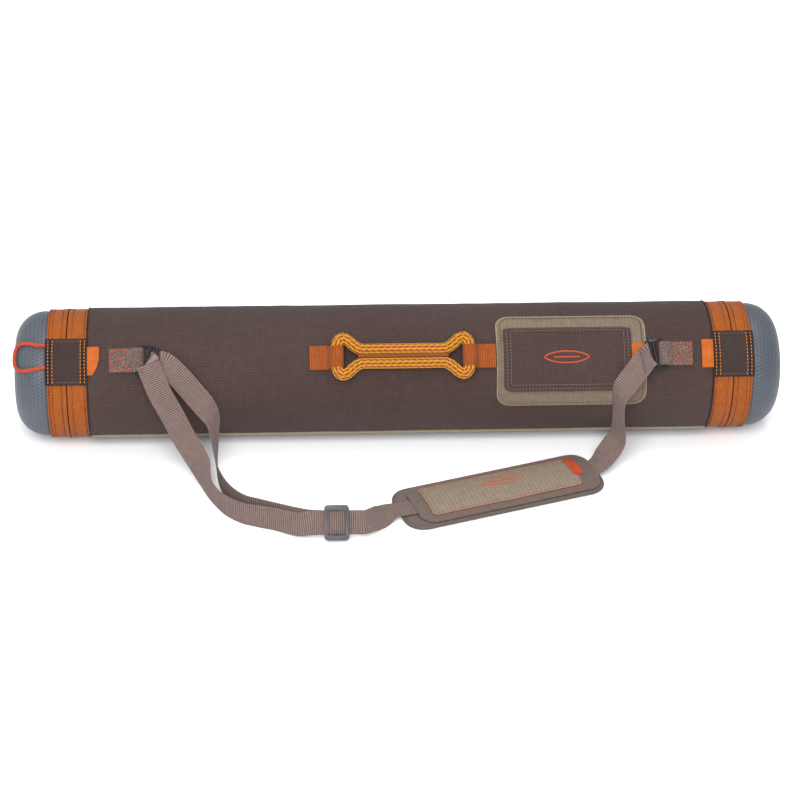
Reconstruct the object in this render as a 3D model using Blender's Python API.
"""Rod case: a covered tube with a zip-off cap on each end, a rope handle, a flap pocket
and a padded shoulder strap.

Frame: metres, +Z up. The origin is on the floor under the middle of the case, +X runs
along the case to the right cap and -Y points to the side that carries the handle.
"""

import math

import bmesh
import bpy
from mathutils import Matrix, Vector

# Driving dimensions
GAP = 0.0003                # clearance left between pieces that touch
BODY_R = 0.0690             # outside of the fabric cover
COVER_T = 0.0028            # fabric with its foam backing
CORE_T = 0.0029             # wall of the rigid tube
BASE_HALF_ANGLE = 10        # the cover is pressed flat over this much each side of the bottom
HALF_LENGTH = 0.4065
ZIP_X = 0.3500              # plane of each zip
BAND_W = 0.0190             # one half of a zip band
BAND_T = 0.0015
COIL_W = 0.0015
CAP_R = 0.0660
CAP_WALL = 0.0030
DOME_R = 0.0310             # rounding between the cap's side and its end
FEATURE_ANGLE = 42          # line of the handle, labels and hinge patches, above the front
SEAM_ANGLE = -45            # piping in front; the other one is opposite
PIPING_R = 0.0018
WEB_W = 0.0250
WEB_T = 0.0014
RING_STEPS = 48
CAP_PAD_R = 0.0340          # foam disc inside the end of each cap
CAP_PAD_T = 0.0070

# Zip hinge patch, label and loop
PATCH_HALF_ANGLE = 20
PATCH_T = 0.0012
LABEL_HALF_ANGLE = 12
LABEL_W = 0.0120
LABEL_CUT = 0.0075          # what the left label loses at its lower corner
LABEL_FALL = ((0, 0), (6, 0), (12, 0.05), (18, 0.25), (22, 0.6), (24, 1))
TRIM_T = 0.0010
LOOP_CORD_R = 0.0019
LOOP_PIVOT_RISE = 0.0012            # the loop bends a little above its two feet

# Zip slider and pull
SLIDER_REST = (204, 216)    # where the two sliders of a zip meet, behind the case
SLIDER_L = 0.0090
SLIDER_W = 0.0100
SLIDER_H = 0.0024
CHEEK_H = 0.0050
PULL_L = 0.0200
PULL_PIVOT = 0.0039         # height of the pull's pivot above the slider's underside
PULL_T = 0.0012
PULL_HALF = 0.0030
PULL_NECK = 0.0019
TRACK_HALF = 0.0022         # room between the slider's cheeks
CHEEK_T = 0.0010

# Carry handle
ROPE_R = 0.00575
ROPE_SPACING = 0.0144
HANDLE_HALF = 0.0690
HANDLE_LIFT = 0.0050        # room above the rope in its webbing loops
ROPE_BOW = 0.0003           # the rope's ends stand this far past its bars
CORE_STRIP_HALF = 0.0440
CORE_STRIP_T = 0.0060
ANCHOR_TAIL = 0.0975
ANCHOR_T = 0.0011

# Strap tabs and buckles
TAB_OUTER = 0.3055
TAB_INNER = 0.2800
TAB_LOOP_END = 0.2700
TAB_T = 0.0011
BUCKLE_X = 0.2755
BUCKLE_TURN = 10            # the strap pulls the buckle round in its tab
BUCKLE_TILT = 16            # and lifts its far bar off the case
BUCKLE_BARS = (0.0, 0.0104, 0.0190)
BUCKLE_HALF = 0.0150
BAR_R = 0.0016

# Pocket
POCKET_X = (0.0990, 0.2570)
POCKET_ANGLE = (81, -3.3)
FLAP_X = (0.1065, 0.2398)
FLAP_ANGLE = (67.3, 12.4)
POUCH_TOP_ANGLE = 58
POCKET_INSET = 0.0020
POCKET_T = 0.0012
FASTENER_X = (0.1380, 0.2080)
FASTENER_ANGLES = (32, 28, 24, 20)
FLAP_T = 0.0015
FLAP_HEM = 3.5              # degrees over which the flap rises from its seam
FLAP_TAB_X = (0.2300, 0.2548)
FLAP_TAB_ANGLES = (51, 46, 41, 36, 31)

# Shoulder pad and strap slider
PAD_CENTRE = (0.0973, -0.1396)
PAD_TURN = 18               # the pad's length, measured from +X
PAD_L = 0.2210
PAD_W = 0.0690
PAD_BASE_T = 0.0050
PAD_PANEL_L = 0.1620
PAD_PANEL_W = 0.0480
PAD_PANEL_T = 0.0040
GLIDE_CENTRE = (-0.0745, -0.2105, 0.0178)
GLIDE_L = 0.0250
GLIDE_H = 0.0350

# Values that follow
AXIS_Z = BODY_R * math.cos(math.radians(BASE_HALF_ANGLE))
COVER_IN = BODY_R - COVER_T
CORE_OUT = COVER_IN - GAP
CORE_IN = CORE_OUT - CORE_T
COVER_END = ZIP_X - COIL_W - 2 * GAP - BAND_W
BAND_OUT = COVER_IN + BAND_T
COIL_IN = CORE_IN + 0.0020
COIL_OUT = BAND_OUT + 0.0005
PATCH_IN = COIL_OUT + GAP
PATCH_OUT = PATCH_IN + PATCH_T
CAP_EDGE = ZIP_X + COIL_W + 2 * GAP + BAND_W
SURFACE = BODY_R + GAP
AXIS = Vector((0, 0, AXIS_Z))

COLOURS = {
    "brown": (0.107, 0.078, 0.068, 1),
    "khaki": (0.305, 0.242, 0.156, 1),
    "orange": (0.552, 0.122, 0.021, 1),
    "black": (0.021, 0.026, 0.034, 1),
    "shell": (0.141, 0.162, 0.188, 1),
    "webbing": (0.205, 0.150, 0.127, 1),
    "label": (0.871, 0.156, 0.032, 1),
    "rope": (0.750, 0.300, 0.032, 1),
    "core": (0.060, 0.060, 0.065, 1),
    "foam": (0.080, 0.080, 0.085, 1),
    "grey": (0.115, 0.130, 0.140, 1),
    "border": (0.205, 0.178, 0.150, 1),
    "metal": (0.180, 0.180, 0.185, 1),
}


def material(colour, roughness=0.8, metallic=0.0):
    """One Principled material for each colour, made the first time it is asked for."""
    found = bpy.data.materials.get(colour)
    if found:
        return found
    made = bpy.data.materials.new(colour)
    made.use_nodes = True
    shader = made.node_tree.nodes["Principled BSDF"]
    shader.inputs["Base Color"].default_value = COLOURS[colour]
    shader.inputs["Roughness"].default_value = roughness
    shader.inputs["Metallic"].default_value = metallic
    return made


def finish(name, bm, colour, roughness=0.8, metallic=0.0, parent=None, origin=None):
    """Turn a bmesh in world coordinates into an object whose origin is the given point."""
    bmesh.ops.remove_doubles(bm, verts=bm.verts, dist=1e-7)
    bmesh.ops.recalc_face_normals(bm, faces=bm.faces)
    mesh = bpy.data.meshes.new(name)
    bm.to_mesh(mesh)
    bm.free()
    mesh.materials.append(material(colour, roughness, metallic))
    mesh.shade_smooth()
    mesh.set_sharp_from_angle(angle=math.radians(35))
    thing = bpy.data.objects.new(name, mesh)
    bpy.context.collection.objects.link(thing)
    place = Matrix.Translation(origin) if origin is not None else Matrix.Identity(4)
    mesh.transform(place.inverted())
    if parent:
        thing.parent = parent
        thing.matrix_parent_inverse = parent.matrix_world.inverted()
    thing.matrix_world = place
    return thing


def empty(name, origin):
    """An empty on a joint's axis, for the pieces that turn or slide with it."""
    thing = bpy.data.objects.new(name, None)
    bpy.context.collection.objects.link(thing)
    thing.location = origin
    bpy.context.view_layer.update()
    return thing


def outward(degrees):
    """Unit vector away from the case's axis; 0 is straight to the front, 90 straight up."""
    a = math.radians(degrees)
    return Vector((0, -math.cos(a), math.sin(a)))


def along_rim(degrees):
    """Unit vector round the case, in the direction of growing angle."""
    a = math.radians(degrees)
    return Vector((0, math.sin(a), math.cos(a)))


def on_case(x, degrees, r):
    return AXIS + Vector((x, 0, 0)) + outward(degrees) * r


def on_line(x, across, height, degrees=FEATURE_ANGLE):
    """A point of the flat plane that touches the case along the feature line."""
    return AXIS + Vector((x, 0, 0)) + along_rim(degrees) * across + outward(degrees) * height


def turned(name, profile, colour, start=0, sweep=360, steps=RING_STEPS, **how):
    """Spin a closed (x, r) outline about the case's axis."""
    bm = bmesh.new()
    verts = [bm.verts.new(on_case(x, start, r)) for x, r in profile]
    full = sweep == 360
    if full and (profile[0][1] == 0 or profile[-1][1] == 0):
        geom = [bm.edges.new(pair) for pair in zip(verts, verts[1:])] + verts
    elif full:
        geom = [bm.edges.new(pair) for pair in zip(verts, verts[1:] + verts[:1])] + verts
    else:
        face = bm.faces.new(verts)
        geom = [face] + list(face.edges) + verts
    bmesh.ops.spin(bm, geom=geom, cent=AXIS, axis=(-1, 0, 0), dvec=(0, 0, 0),
                   angle=math.radians(sweep), steps=steps, use_merge=full)
    return finish(name, bm, colour, **how)


def box_profile(x0, x1, r0, r1):
    return [(x0, r0), (x1, r0), (x1, r1), (x0, r1)]


def wrapped(name, rows, colour, **how):
    """A sheet that follows the case. Each row is (degrees, x0, x1, r_inner, r_outer)."""
    bm = bmesh.new()
    rings = []
    for degrees, x0, x1, r0, r1 in rows:
        corners = [(x0, r0), (x1, r0), (x1, r1), (x0, r1)]
        rings.append([bm.verts.new(on_case(x, degrees, r)) for x, r in corners])
    for low, high in zip(rings, rings[1:]):
        for k in range(4):
            bm.faces.new((low[k], low[k - 1], high[k - 1], high[k]))
    bm.faces.new(rings[0])
    bm.faces.new(rings[-1])
    return finish(name, bm, colour, **how)


def rounded_rows(x_range, angles, r0, r1, corner, step=5):
    """Rows for a sheet whose corners are rounded by the given radius."""
    top, bottom = angles
    turn = math.degrees(corner / r1)
    marks = [0, 0.04, 0.15, 0.35, 0.62, 1]
    offsets = [m * turn for m in marks]
    middle = max(1, round((top - bottom - 2 * turn) / step))
    span = top - bottom - 2 * turn
    offsets += [turn + span * k / middle for k in range(1, middle)]
    offsets += [top - bottom - m * turn for m in reversed(marks)]
    rows = []
    for offset in offsets:
        near_edge = min(offset, top - bottom - offset) / turn
        inset = 0
        if near_edge < 1:
            inset = corner * (1 - math.sqrt(1 - (1 - near_edge) ** 2))
        rows.append((top - offset, x_range[0] + inset, x_range[1] - inset, r0, r1))
    return rows


def prism(outline, place, thickness):
    """Extrude a flat outline; place maps (a, b, c) to world, with c through the thickness."""
    bm = bmesh.new()
    face = bm.faces.new([bm.verts.new(place(a, b, 0)) for a, b in outline])
    lift = place(0, 0, thickness) - place(0, 0, 0)
    moved = bmesh.ops.extrude_face_region(bm, geom=[face])["geom"]
    bmesh.ops.translate(bm, vec=lift, verts=[v for v in moved if isinstance(v, bmesh.types.BMVert)])
    return bm


def strip_outline(path, thickness):
    """The closed outline of a bent strip of even thickness that follows a flat path."""
    points = [Vector(p) for p in path]
    left, right = [], []
    for k, point in enumerate(points):
        before = points[max(k - 1, 0)]
        after = points[min(k + 1, len(points) - 1)]
        run_in = (point - before) if k else (after - point)
        run_out = (after - point) if k < len(points) - 1 else run_in
        sides = [Vector((-run.y, run.x)).normalized() for run in (run_in, run_out)]
        mean = (sides[0] + sides[1]).normalized()
        reach = thickness / 2 / max(mean.dot(sides[0]), 0.5)
        left.append(point + mean * reach)
        right.append(point - mean * reach)
    return [tuple(p) for p in left + right[::-1]]


def arc(centre, radius, first, last, steps):
    """Points of a flat arc, in degrees."""
    angles = [math.radians(first + (last - first) * k / steps) for k in range(steps + 1)]
    return [(centre[0] + radius * math.cos(a), centre[1] + radius * math.sin(a)) for a in angles]


def rounded_rectangle(length, width, corner, steps=5):
    a, b = length / 2 - corner, width / 2 - corner
    points = arc((a, b), corner, 0, 90, steps) + arc((-a, b), corner, 90, 180, steps)
    return points + arc((-a, -b), corner, 180, 270, steps) + arc((a, -b), corner, 270, 360, steps)


def tube(name, points, radius, colour, cyclic=False, sides=2, **how):
    """A round cord as a curve with a bevel; an open one has filled ends."""
    curve = bpy.data.curves.new(name, "CURVE")
    curve.dimensions = "3D"
    curve.bevel_depth = radius
    curve.bevel_resolution = sides
    curve.use_fill_caps = not cyclic
    spline = curve.splines.new("POLY")
    spline.points.add(len(points) - 1)
    origin = how.pop("origin", None) or Vector((0, 0, 0))
    for knot, point in zip(spline.points, points):
        knot.co = (*(Vector(point) - origin), 1)
    spline.use_cyclic_u = cyclic
    curve.materials.append(material(colour, how.get("roughness", 0.8)))
    thing = bpy.data.objects.new(name, curve)
    bpy.context.collection.objects.link(thing)
    thing.location = origin
    parent = how.get("parent")
    if parent:
        thing.parent = parent
        thing.matrix_parent_inverse = parent.matrix_world.inverted()
    return thing


def smooth(points, spacing, cyclic=False):
    """Sample a Catmull-Rom curve through the points about every spacing."""
    points = [Vector(p) for p in points]
    count = len(points)
    out = []
    for k in range(count if cyclic else count - 1):
        if cyclic:
            p0, p1, p2, p3 = (points[(k + n) % count] for n in (-1, 0, 1, 2))
        else:
            p1, p2 = points[k], points[k + 1]
            p0 = points[k - 1] if k else p1 * 2 - p2
            p3 = points[k + 2] if k + 2 < count else p2 * 2 - p1
        steps = max(1, round((Vector(p2[:3]) - Vector(p1[:3])).length / spacing))
        for n in range(steps):
            t = n / steps
            out.append((p1 * 2 + (p2 - p0) * t + (p0 * 2 - p1 * 5 + p2 * 4 - p3) * t * t
                        + (p1 * 3 - p0 - p2 * 3 + p3) * t ** 3) / 2)
    if not cyclic:
        out.append(points[-1])
    return out


# ---------------------------------------------------------------- tube and covers

def make_tube():
    """The rigid tube, its two fabric covers and the piping between them."""
    turned("core_tube", box_profile(-ZIP_X + COIL_W + 2 * GAP, ZIP_X - COIL_W - 2 * GAP,
                                    CORE_IN, CORE_OUT), "core", roughness=0.5)
    seam = math.degrees((PIPING_R + GAP) / BODY_R)
    for name, start in (("cover_top", SEAM_ANGLE), ("cover_bottom", SEAM_ANGLE + 180)):
        cover = turned(name, box_profile(-COVER_END + GAP, COVER_END - GAP, COVER_IN, BODY_R),
                       "brown", start=start + 5, sweep=170, steps=34)
        press_flat(cover)
        widen_edges(cover, start + seam, start + 180 - seam, start + 5)
    for name, angle in (("piping_front", SEAM_ANGLE), ("piping_back", SEAM_ANGLE + 180)):
        ends = [on_case(x, angle, BODY_R - 0.0004) for x in (-COVER_END + GAP, COVER_END - GAP)]
        tube(name, ends, PIPING_R, "khaki")


def press_flat(ring):
    """Rest a piece on the floor: its lowest strip lies in the plane z = 0."""
    for vert in ring.data.vertices:
        if vert.co.z < 0.0001:
            vert.co.z = 0


def widen_edges(cover, first, last, spun_first):
    """Carry the two long edges of a cover on to the piping."""
    spun_last = spun_first + 170
    for vert in cover.data.vertices:
        rel = vert.co - AXIS
        r = math.hypot(rel.y, rel.z)
        angle = math.degrees(math.atan2(rel.z, -rel.y)) % 360
        for spun, target in ((spun_first, first), (spun_last, last)):
            if abs((angle - spun + 180) % 360 - 180) < 0.5:
                vert.co = on_case(vert.co.x, target, r)


# ---------------------------------------------------------------- caps and zips

def dome(offset, steps):
    """(x, r) points of the cap's rounding, offset outward, from the side to the end."""
    centre = (HALF_LENGTH - DOME_R, CAP_R - DOME_R)
    radius = DOME_R + offset
    angles = [math.radians(90 * k / steps) for k in range(steps + 1)]
    return [(centre[0] + radius * math.sin(a), centre[1] + radius * math.cos(a)) for a in angles]


def cap_profile():
    """Half section of a cap's moulded shell, from the axis outside to the axis inside."""
    outer = [(HALF_LENGTH, 0)] + dome(0, 8)[::-1] + [(CAP_EDGE + GAP, CAP_R)]
    rim = [(CAP_EDGE + GAP, CORE_OUT), (ZIP_X + COIL_W + 2 * GAP, CORE_OUT),
           (ZIP_X + COIL_W + 2 * GAP, CORE_IN)]
    inner = [(x, r) for x, r in dome(-CAP_WALL, 6)] + [(HALF_LENGTH - CAP_WALL, 0)]
    return outer + rim + inner


def make_end(side, name):
    """Everything at one end of the case: side is -1 for the left end and 1 for the right."""
    def at(profile):
        return [(side * x, r) for x, r in profile]

    hinge = empty(name + "_cap_hinge", on_line(side * ZIP_X, 0, PATCH_OUT + 0.0004))
    turned(name + "_cap_shell", at(cap_profile()), "shell", roughness=0.6, parent=hinge)
    pad_x = HALF_LENGTH - CAP_WALL - GAP
    turned(name + "_cap_pad", at([(pad_x, 0), (pad_x, CAP_PAD_R), (pad_x - CAP_PAD_T, CAP_PAD_R),
                                  (pad_x - CAP_PAD_T, 0)]), "foam", roughness=0.9, parent=hinge)
    for part, parent, towards in (("tube", None, -1), ("cap", hinge, 1)):
        near = ZIP_X + towards * GAP
        coil = box_profile(*sorted((near, near + towards * COIL_W)), COIL_IN, COIL_OUT)
        band = sorted((near + towards * (COIL_W + GAP), near + towards * (COIL_W + GAP + BAND_W)))
        patch = sorted((near, near + towards * (COIL_W + GAP + BAND_W)))
        press_flat(turned(f"{name}_{part}_coil", at(coil), "black", parent=parent))
        turned(f"{name}_{part}_band", at(box_profile(*band, COVER_IN, BAND_OUT)), "orange",
               parent=parent)
        turned(f"{name}_{part}_patch", at(box_profile(*patch, PATCH_IN, PATCH_OUT)), "brown",
               start=FEATURE_ANGLE - PATCH_HALF_ANGLE, sweep=2 * PATCH_HALF_ANGLE, steps=8,
               parent=parent)
    make_label(side, name)
    for letter, rest in zip("ab", SLIDER_REST):
        make_zip_slider(side, f"{name}_slider_{letter}", rest)
    return hinge


def make_label(side, name):
    """A folded tab sewn under the edge of the zip band, with one corner cut on the left."""
    top = FEATURE_ANGLE + LABEL_HALF_ANGLE
    outer = COVER_END - 2 * GAP
    cut = LABEL_CUT if side < 0 else 0
    rows = []
    for fall, taper in LABEL_FALL:
        xs = sorted((side * (outer - LABEL_W + cut * taper), side * outer))
        rows.append((top - fall, *xs, SURFACE, SURFACE + TRIM_T))
    wrapped(name + "_label", rows, "label")


def make_zip_slider(side, name, rest):
    """A slider on its zip and the pull that hangs from it."""
    foot = COIL_OUT + GAP + 0.0001
    half = SLIDER_W / 2
    track, cheek = TRACK_HALF, TRACK_HALF + CHEEK_T
    section = [(-half, 0), (half, 0), (half, SLIDER_H), (cheek, SLIDER_H), (cheek, CHEEK_H),
               (track, CHEEK_H), (track, SLIDER_H), (-track, SLIDER_H), (-track, CHEEK_H),
               (-cheek, CHEEK_H), (-cheek, SLIDER_H), (-half, SLIDER_H)]

    def place(a, b, c):
        across = (c - SLIDER_L / 2) * (1 if b <= SLIDER_H else 0.35)
        return on_line(side * ZIP_X + a, across, foot + b, rest)

    bm = bmesh.new()
    ends = [[bm.verts.new(place(a, b, c)) for a, b in section] for c in (0, SLIDER_L)]
    for end in ends:
        bm.faces.new(end)
    for k in range(len(section)):
        bm.faces.new((ends[0][k - 1], ends[0][k], ends[1][k], ends[1][k - 1]))
    finish(name, bm, "black", roughness=0.4, metallic=0.6, origin=on_case(side * ZIP_X, 0, 0))

    pivot = on_case(side * ZIP_X, rest, foot + PULL_PIVOT)
    right_edge = [(PULL_NECK, 0.0008), (PULL_NECK, -0.0055), (PULL_HALF, -0.0070),
                  (PULL_HALF, 0.0015 - PULL_L), (PULL_NECK, -PULL_L)]
    outline = right_edge + [(-a, b) for a, b in reversed(right_edge)]
    bm = prism(outline, lambda a, b, c: pivot + Vector((a, c - PULL_T / 2, b)), PULL_T)
    finish(name.replace("slider", "pull"), bm, "metal", roughness=0.4, metallic=0.8, origin=pivot)


def make_cap_loop(hinge):
    """The cord loop on the left cap. It lies on the shell and is sewn under the patch."""
    lift = LOOP_CORD_R + GAP
    side_end = HALF_LENGTH - DOME_R
    route = [(0, 0.0175), (0.010, 0.0185), (0.020, 0.0208), (0.029, 0.0210), (0.037, 0.0165),
             (0.0405, 0.0085), (0.0395, 0.0005), (0.033, -0.0058), (0.024, -0.0082),
             (0.012, -0.0075), (0, -0.0055)]
    points = []
    for run, across, _ in smooth([(a, b, 0) for a, b in route], 0.005):
        x = CAP_EDGE + 2 * GAP + run
        r = CAP_R + lift
        if x > side_end:
            bend = (x - side_end) / (DOME_R + lift)
            x = side_end + (DOME_R + lift) * math.sin(bend)
            r = CAP_R - DOME_R + (DOME_R + lift) * math.cos(bend)
        points.append(on_line(-x, across, math.sqrt(r * r - across * across)))
    origin = on_line(-CAP_EDGE - 2 * GAP, 0, CAP_R + lift + LOOP_PIVOT_RISE)
    tube("cap_pull_loop", points, LOOP_CORD_R, "label", parent=hinge, origin=origin)


# ---------------------------------------------------------------- handle

def make_handle():
    """A closed loop of rope, stitched to a core strip in the middle, in two webbing loops."""
    height = SURFACE + ANCHOR_T + GAP + ROPE_R
    half = ROPE_SPACING / 2
    quarter = [(HANDLE_HALF, 0), (HANDLE_HALF + ROPE_BOW, 0.0095), (HANDLE_HALF - 0.0012, 0.0160),
               (HANDLE_HALF - 0.0055, 0.0192), (HANDLE_HALF - 0.0110, 0.0172),
               (HANDLE_HALF - 0.0160, 0.0128), (HANDLE_HALF - 0.0210, 0.0092),
               (HANDLE_HALF - 0.0270, half), (0.020, half)]
    upper = [(-x, y) for x, y in quarter] + quarter[:0:-1]
    lower = [(x, -y) for x, y in quarter[1:]] + [(-x, -y) for x, y in quarter[:0:-1]]
    route = [on_line(x, across, height) for x, across in upper + [quarter[0]] + lower]
    route = smooth(route, 0.0065, cyclic=True)
    origin = on_line(0, 0, height)
    tube("handle_rope", route, ROPE_R, "rope", cyclic=True, origin=origin)

    core_half = half - ROPE_R - GAP
    strip = [(-CORE_STRIP_HALF, -core_half), (CORE_STRIP_HALF, -core_half),
             (CORE_STRIP_HALF, core_half), (-CORE_STRIP_HALF, core_half)]
    bm = prism(strip, lambda a, b, c: on_line(a, b, height - CORE_STRIP_T / 2 + c), CORE_STRIP_T)
    finish("handle_core_strip", bm, "orange", origin=origin)

    low = SURFACE + ANCHOR_T / 2
    reach = ROPE_R + GAP + ANCHOR_T / 2
    for name, side in (("left", -1), ("right", 1)):
        bar = HANDLE_HALF
        turn_over = arc((bar, height), reach, 270, 180, 4) \
            + arc((bar, height + HANDLE_LIFT), reach, 180, 0, 8)
        upper_layer = low + ANCHOR_T + GAP
        path = [(ANCHOR_TAIL, low)] + turn_over \
            + [(bar + 0.0115, upper_layer + 0.0006), (bar + 0.0135, upper_layer),
               (ANCHOR_TAIL, upper_layer)]
        outline = [(side * a, b) for a, b in strip_outline(path, ANCHOR_T)]
        bm = prism(outline, lambda a, b, c: on_line(a, c - WEB_W / 2, b), WEB_W)
        finish(f"handle_anchor_{name}", bm, "orange")


# ---------------------------------------------------------------- strap tabs and buckles

def make_strap_tab(side, name):
    """A webbing tab folded through the inner bar of its buckle."""
    low = SURFACE + TAB_T / 2
    upper_layer = low + TAB_T + GAP
    reach = BAR_R + GAP + TAB_T / 2
    bar_height = low + reach
    path = [(TAB_OUTER, low)] + arc((TAB_LOOP_END + reach, bar_height), reach, 270, 90, 6) \
        + [(TAB_INNER + 0.0010, bar_height + reach), (TAB_INNER + 0.0045, upper_layer),
           (TAB_OUTER, upper_layer)]
    outline = [(side * a, b) for a, b in strip_outline(path, TAB_T)]
    bm = prism(outline, lambda a, b, c: on_line(a, c - WEB_W / 2, b), WEB_W)
    finish(f"strap_tab_{name}", bm, "webbing")
    make_buckle(side, name, bar_height)


def make_buckle(side, name, height):
    """A three-bar plastic loop: one bar in the tab, a middle bar and the strap's bar."""
    turn, tilt = math.radians(BUCKLE_TURN), math.radians(BUCKLE_TILT)

    def place(reach, across):
        flat = reach * math.cos(tilt)
        x = side * (BUCKLE_X - flat * math.cos(turn) - across * math.sin(turn))
        t = -flat * math.sin(turn) + across * math.cos(turn)
        return on_line(x, t, height + reach * math.sin(tilt))

    far = BUCKLE_BARS[-1]
    frame = [place(a, b) for a, b in [
        (0, 0.0135), (0.0012, BUCKLE_HALF - 0.0003), (0.004, BUCKLE_HALF),
        (far - 0.004, BUCKLE_HALF), (far - 0.0012, BUCKLE_HALF - 0.0003), (far, 0.0135),
        (far, -0.0135), (far - 0.0012, -BUCKLE_HALF + 0.0003), (far - 0.004, -BUCKLE_HALF),
        (0.004, -BUCKLE_HALF), (0.0012, -BUCKLE_HALF + 0.0003), (0, -0.0135)]]
    loop = tube(f"strap_buckle_{name}", frame, BAR_R, "black", cyclic=True, roughness=0.4)
    middle = BUCKLE_BARS[1]
    ends = [place(middle, -BUCKLE_HALF), place(middle, BUCKLE_HALF)]
    bar = tube(f"buckle_bar_guide_{name}", ends, BAR_R * 0.93, "black")
    bar.hide_render = True
    bar.display_type = "WIRE"
    join = to_mesh(loop).modifiers.new("middle bar", "BOOLEAN")
    join.operation = "UNION"
    join.object = to_mesh(bar)


def to_mesh(thing):
    """Swap a curve's object for one with the same name and a mesh of the same shape."""
    name = thing.name
    hidden, drawn = thing.hide_render, thing.display_type
    shape = bpy.data.meshes.new_from_object(thing)
    made = bpy.data.objects.new(name + "_mesh", shape)
    bpy.context.collection.objects.link(made)
    made.matrix_world = thing.matrix_world.copy()
    bpy.data.objects.remove(thing)
    made.name = name
    made.hide_render, made.display_type = hidden, drawn
    return made


# ---------------------------------------------------------------- pocket

def make_pocket():
    """A flat patch pocket: back, pouch open at the top, and a flap with its fastener."""
    back_out = SURFACE + TRIM_T
    pouch_in = back_out + GAP
    pouch_out = pouch_in + POCKET_T
    wrapped("pocket_back", rounded_rows(POCKET_X, POCKET_ANGLE, SURFACE, back_out, 0.014),
            "khaki")
    pouch_x = (POCKET_X[0] + POCKET_INSET, POCKET_X[1] - POCKET_INSET)
    pouch = rounded_rows(pouch_x,
                         (POUCH_TOP_ANGLE, POCKET_ANGLE[1] + 1.6), pouch_in, pouch_out, 0.012)
    middle = sum(POCKET_ANGLE) / 2
    square_top = [(a, *pouch_x, r0, r1) if a > middle else (a, x0, x1, r0, r1)
                  for a, x0, x1, r0, r1 in pouch]
    wrapped("pocket_pouch", square_top, "khaki")

    loop_out = pouch_out + GAP + TRIM_T
    hook_out = loop_out + GAP + TRIM_T
    flap_in = hook_out + GAP
    flap_out = flap_in + FLAP_T
    for name, r0, r1 in (("flap_fastener_loop", pouch_out + GAP, loop_out),
                         ("flap_fastener_hook", loop_out + GAP, hook_out)):
        wrapped(name, [(a, *FASTENER_X, r0, r1) for a in FASTENER_ANGLES], "black")

    top, bottom = FLAP_ANGLE
    rows = [(top, *FLAP_X, pouch_in, pouch_out),
            (top - 1, *FLAP_X, pouch_in, flap_in + 0.0005),
            (top - FLAP_HEM, *FLAP_X, pouch_in + 0.0002, flap_out)]
    steps = 11
    first = top - FLAP_HEM - 0.8
    rows += [(first - (first - bottom) * k / steps, *FLAP_X, flap_in, flap_out)
             for k in range(steps + 1)]
    wrapped("pocket_flap", rows, "brown", origin=on_case(FLAP_X[0], top, pouch_in))
    wrapped("flap_pull_tab", [(a, *FLAP_TAB_X, loop_out + GAP, hook_out)
                              for a in FLAP_TAB_ANGLES], "label")


# ---------------------------------------------------------------- shoulder strap

def ribbon(name, route, colour):
    """Flat webbing along a route of (point, direction from its upper to its lower edge)."""
    both = [Vector((*p, *Vector(w).normalized())) for p, w in route]
    samples = smooth(both, 0.009)
    bm = bmesh.new()
    rings = []
    for k, sample in enumerate(samples):
        here = Vector(sample[:3])
        before = Vector(samples[max(k - 1, 0)][:3])
        after = Vector(samples[min(k + 1, len(samples) - 1)][:3])
        run = (after - before).normalized()
        across = Vector(sample[3:])
        across = (across - run * across.dot(run)).normalized()
        face = run.cross(across)
        rings.append([bm.verts.new(here + across * (a * WEB_W / 2) + face * (b * WEB_T / 2))
                      for a, b in ((-1, -1), (1, -1), (1, 1), (-1, 1))])
    for low, high in zip(rings, rings[1:]):
        for k in range(4):
            bm.faces.new((low[k - 1], low[k], high[k], high[k - 1]))
    bm.faces.new(rings[0])
    bm.faces.new(rings[-1])
    return finish(name, bm, colour)


def on_pad(u, v, z):
    """A point of the shoulder pad, from its centre: u along it, v across it."""
    a = math.radians(PAD_TURN)
    return Vector((PAD_CENTRE[0] + u * math.cos(a) - v * math.sin(a),
                   PAD_CENTRE[1] + u * math.sin(a) + v * math.cos(a), z))


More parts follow.
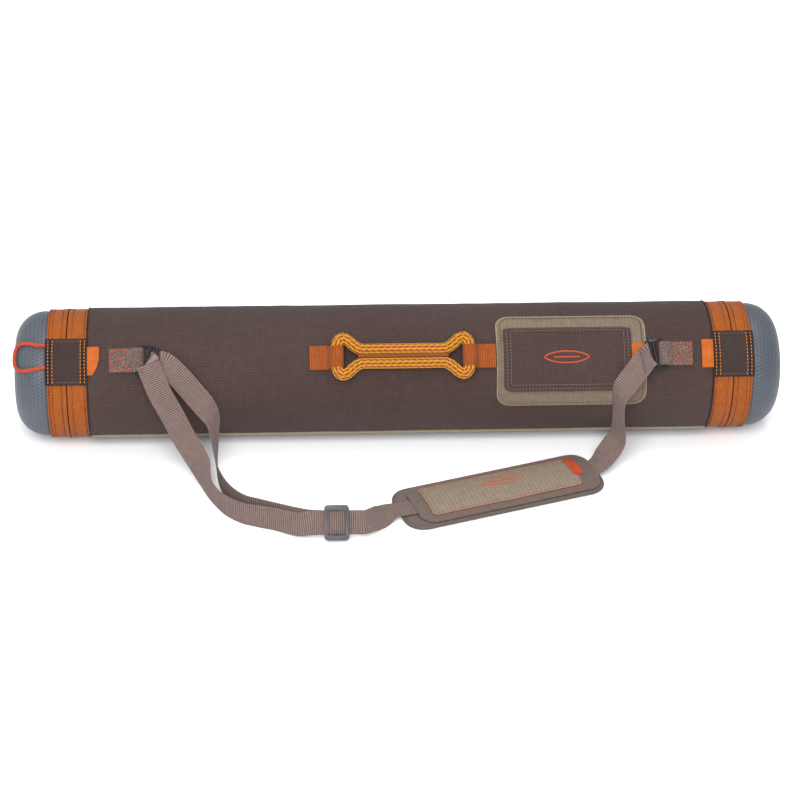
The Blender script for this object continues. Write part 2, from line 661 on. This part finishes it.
FLAT = (0.309, -0.951, 0)           # webbing that lies flat in the pad
LEANING = (0, -0.500, -0.866)       # webbing that leans back where the slider sits
STRAP_ROUTE = [
    ((0.2580, -0.0620, 0.1190), (0.208, -0.654, -0.727)),
    ((0.2505, -0.0690, 0.1140), (0.45, -0.60, -0.66)),
    ((0.2410, -0.0765, 0.1045), (0.62, -0.55, -0.55)),
    ((0.2325, -0.0820, 0.0955), (0.62, -0.62, -0.45)),
    ((0.2270, -0.0860, 0.0860), (0.45, -0.86, -0.20)),
    ((0.2258, -0.0880, 0.0757), (0.35, -0.93, 0.00)),
    ((0.2262, -0.0895, 0.0594), (0.38, -0.92, 0.05)),
    ((0.2270, -0.0915, 0.0400), (0.55, -0.83, 0.00)),
    ((0.2215, -0.0945, 0.0280), (0.80, -0.55, -0.25)),
    ((0.2145, -0.0980, 0.0185), (0.76, -0.60, -0.25)),
    ((0.2070, -0.1025, 0.0105), (0.50, -0.84, -0.10)),
    (on_pad(0.105, 0, 0.0062), FLAT),
    (on_pad(0.095, 0, 0.0060), FLAT),
    (on_pad(0.050, 0, 0.0060), FLAT),
    (on_pad(0, 0, 0.0060), FLAT),
    (on_pad(-0.050, 0, 0.0060), FLAT),
    (on_pad(-0.105, 0, 0.0063), FLAT),
    (on_pad(-0.123, 0, 0.0076), FLAT),
    ((-0.0290, -0.1905, 0.0100), (0.22, -0.80, -0.52)),
    ((-0.0375, -0.2030, 0.0155), (0.08, -0.60, -0.80)),
    ((-0.0460, -0.2105, 0.0178), LEANING),
    ((-0.0560, -0.2105, 0.0178), LEANING),
    (GLIDE_CENTRE, LEANING),
    ((-0.0980, -0.2105, 0.0178), LEANING),
    ((-0.1150, -0.2080, 0.0150), (0, -0.40, -0.92)),
    ((-0.1360, -0.1970, 0.0133), (0, -0.25, -0.97)),
    ((-0.1570, -0.1900, 0.0132), (0, -0.15, -0.99)),
    ((-0.1720, -0.1835, 0.0132), (0, -0.10, -0.99)),
    ((-0.1865, -0.1710, 0.0133), (0, -0.05, -1.00)),
    ((-0.1965, -0.1560, 0.0134), (0, 0.00, -1.00)),
    ((-0.2035, -0.1400, 0.0142), (-0.15, 0.05, -0.99)),
    ((-0.2085, -0.1270, 0.0195), (-0.40, 0.00, -0.90)),
    ((-0.2140, -0.1160, 0.0290), (-0.70, -0.10, -0.65)),
    ((-0.2220, -0.1070, 0.0400), (-0.88, -0.15, -0.42)),
    ((-0.2300, -0.0990, 0.0510), (-0.92, -0.16, -0.35)),
    ((-0.2410, -0.0900, 0.0713), (-0.92, -0.16, -0.35)),
    ((-0.2530, -0.0810, 0.0920), (-0.90, -0.18, -0.38)),
    ((-0.2600, -0.0735, 0.1080), (-0.78, -0.32, -0.52)),
    ((-0.2650, -0.0660, 0.1200), (-0.55, -0.48, -0.60)),
]
RETURN_ROUTE = [
    ((-0.2520, -0.0608, 0.1170), (-0.208, -0.654, -0.727)),
    ((-0.2450, -0.0640, 0.1150), (-0.50, -0.50, -0.68)),
    ((-0.2320, -0.0690, 0.1030), (-0.68, -0.35, -0.62)),
    ((-0.2180, -0.0735, 0.0860), (-0.74, -0.28, -0.55)),
    ((-0.2060, -0.0785, 0.0716), (-0.70, -0.55, -0.30)),
    ((-0.1990, -0.0825, 0.0590), (-0.55, -0.80, 0.05)),
    ((-0.1976, -0.0870, 0.0460), (-0.38, -0.86, 0.34)),
    ((-0.1970, -0.0940, 0.0330), (-0.22, -0.80, 0.55)),
    ((-0.1965, -0.1030, 0.0230), (-0.10, -0.55, 0.83)),
    ((-0.1940, -0.1200, 0.0150), (-0.02, -0.22, 0.97)),
    ((-0.1870, -0.1420, 0.0135), (0, -0.05, 1.00)),
    ((-0.1780, -0.1590, 0.0133), (0, 0.05, 1.00)),
    ((-0.1660, -0.1720, 0.0132), (0, 0.10, 0.99)),
    ((-0.1520, -0.1790, 0.0132), (0, 0.15, 0.99)),
    ((-0.1330, -0.1885, 0.0133), (0, 0.25, 0.97)),
    ((-0.1130, -0.2000, 0.0148), (0, 0.40, 0.92)),
    ((-0.1000, -0.2063, 0.0162), (0, 0.500, 0.866)),
    ((-0.0878, -0.2078, 0.0164), (0, 0.500, 0.866)),
]


def make_shoulder_strap():
    """Webbing from the right buckle through the pad and the slider to the left buckle."""
    ribbon("strap_webbing", STRAP_ROUTE, "webbing")
    ribbon("strap_return", RETURN_ROUTE, "webbing")

    channel = PAD_BASE_T + GAP
    panel_z = channel + WEB_T + GAP
    bm = prism(rounded_rectangle(PAD_L, PAD_W, 0.019), on_pad, PAD_BASE_T)
    middle = on_pad(0, 0, 0)
    finish("pad_base", bm, "border", origin=middle)
    bm = prism(rounded_rectangle(PAD_PANEL_L, PAD_PANEL_W, 0.006),
               lambda a, b, c: on_pad(a, b, panel_z + c), PAD_PANEL_T)
    finish("pad_panel", bm, "khaki", origin=middle)
    tag = [(0.0830, -0.0090), (0.0945, -0.0090), (0.0945, 0.0230), (0.0830, 0.0230)]
    bm = prism(tag, lambda a, b, c: on_pad(a, b, panel_z + c), 0.0012)
    finish("pad_tag", bm, "label", origin=middle)
    make_glide()


def make_glide():
    """The strap slider: the webbing runs behind its two end bars and over its middle bar."""
    centre = Vector(GLIDE_CENTRE)
    down = Vector(LEANING)
    along = Vector((1, 0, 0))
    front = Vector((0, -0.866, 0.5))
    slot = WEB_T / 2 + GAP
    depth = 0.0030
    half_l, half_h = GLIDE_L / 2, GLIDE_H / 2
    rail = WEB_W / 2 + GAP

    def block(name, a, b, c):
        """A box given by its ranges along, down and to the front."""
        bm = prism([(a[0], b[0]), (a[1], b[0]), (a[1], b[1]), (a[0], b[1])],
                   lambda p, q, s: centre + along * p + down * q + front * (c[0] + s),
                   c[1] - c[0])
        return finish(name, bm, "grey", roughness=0.5, origin=centre)

    front_range = (slot, slot + depth)
    body = block("strap_slider", (-half_l, half_l), (-half_h, -rail),
                 (-slot - depth, slot + depth))
    others = [block("slider_guide_rail", (-half_l, half_l), (rail, half_h),
                    (-slot - depth, slot + depth))]
    for name, a in (("left", (-half_l, -half_l + 0.0035)), ("right", (half_l - 0.0035, half_l))):
        others.append(block(f"slider_guide_{name}", a, (-half_h + 0.001, half_h - 0.001),
                            (slot, slot + depth - 0.0002)))
    others.append(block("slider_guide_middle", (-0.0030, 0.0030),
                        (-half_h + 0.001, half_h - 0.001), (-slot - depth + 0.0002, -slot)))
    for guide in others:
        guide.hide_render = True
        guide.display_type = "WIRE"
        join = body.modifiers.new(guide.name, "BOOLEAN")
        join.operation = "UNION"
        join.object = guide


def main():
    for thing in list(bpy.data.objects):
        bpy.data.objects.remove(thing)
    make_tube()
    left_hinge = make_end(-1, "left")
    make_end(1, "right")
    make_cap_loop(left_hinge)
    make_handle()
    make_strap_tab(-1, "left")
    make_strap_tab(1, "right")
    make_pocket()
    make_shoulder_strap()


main()
